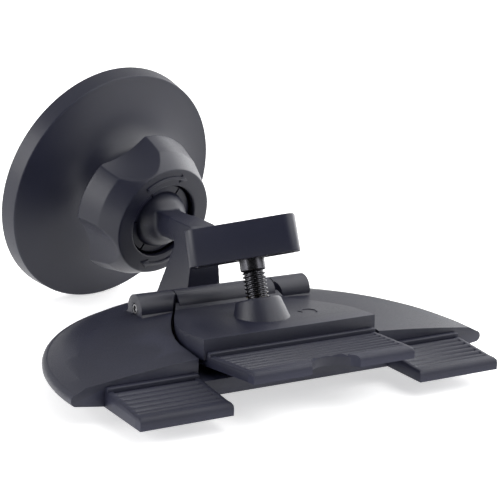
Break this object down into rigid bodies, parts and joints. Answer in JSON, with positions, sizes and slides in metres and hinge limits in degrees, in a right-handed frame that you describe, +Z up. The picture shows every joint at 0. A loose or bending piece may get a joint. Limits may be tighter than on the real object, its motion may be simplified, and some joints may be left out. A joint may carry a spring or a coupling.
{
  "type": "car phone mount",
  "caption": "Disc-slot phone mount: ribbed prongs and a hinged blade spread by a thumb screw, a curved half-moon plate, and an arm with a lockable ball-jointed magnetic disc.",
  "frame": {"origin": "middle of the stop face, at the underside of the lower prongs", "axes": "-Y into the disc slot, +X along the hinge, +Z up"},
  "size_m": [0.1218, 0.1275, 0.0695],
  "materials": {
    "grained_plastic": "fine grain",
    "satin_plastic": "satin",
    "rubber": "matte",
    "steel": "brushed",
    "zinc_screw": "zinc plated",
    "nickel": "nickel plated",
    "brass": "turned",
    "nylon": "natural",
    "black_steel": "black oxide, oiled"
  },
  "bodies": {
    "base": {"base_plate": "grained_plastic", "blade_fork": "grained_plastic", "fork_screws": "zinc_screw", "pad_left": "rubber", "pad_right": "rubber", "wear_plate": "steel", "hinge_pin": "steel", "arm": "grained_plastic", "arm_screws": "zinc_screw"},
    "clamp": {"clamp_plate": "grained_plastic", "upper_blade": "grained_plastic", "blade_screws": "zinc_screw", "pad_upper": "rubber", "thread_insert": "brass"},
    "foot": {"pressure_foot": "nylon"},
    "screw": {"clamp_screw": "black_steel", "knob": "satin_plastic"},
    "pan": {"ball_liner": "nylon"},
    "lift": {"thrust_disc": "rubber"},
    "head": {"head_housing": "satin_plastic", "yoke_plate": "steel", "magnets": "nickel", "cover_screws": "zinc_screw", "front_cover": "satin_plastic", "front_pad": "rubber"},
    "nut": {"lock_nut": "satin_plastic"}
  },
  "joints": [
    {"name": "clamp_hinge", "type": "hinge", "parent": "base", "child": "clamp", "pos_m": [0, 0.0339, 0.01165], "axis": [-1, 0, 0], "range_deg": [-2.52, 5.02]},
    {"name": "screw_advance", "type": "slide", "parent": "clamp", "child": "foot", "axis": [0, -0.373, -0.9278], "range_m": [-0.00099, 0.00196]},
    {"name": "knob_turn", "type": "hinge", "parent": "foot", "child": "screw", "pos_m": [0, 0.01676, 0.01582], "axis": [0, -0.373, -0.9278], "range_deg": [-350, 700]},
    {"name": "ball_pan", "type": "hinge", "parent": "base", "child": "pan", "pos_m": [0, 0.0726, 0.0252], "axis": [0, 0, 1], "range_deg": [-35, 12.5]},
    {"name": "ball_lift", "type": "hinge", "parent": "pan", "child": "lift", "pos_m": [0, 0.0726, 0.0252], "axis": [0.9806, 0.1959, 0], "range_deg": [-33, 12]},
    {"name": "ball_spin", "type": "hinge", "parent": "lift", "child": "head", "pos_m": [0, 0.0726, 0.0252], "axis": [-0.1908, 0.9547, 0.2284], "continuous": true},
    {"name": "nut_turn", "type": "hinge", "parent": "head", "child": "nut", "pos_m": [0, 0.0726, 0.0252], "axis": [-0.1908, 0.9547, 0.2284], "range_deg": [-180, 15]}
  ],
  "couplings": [
    {"joint": "clamp_hinge", "follows": "knob_turn", "ratio": 0.007132},
    {"joint": "screw_advance", "follows": "knob_turn", "m_per_rad": 0.00015915}
  ]
}
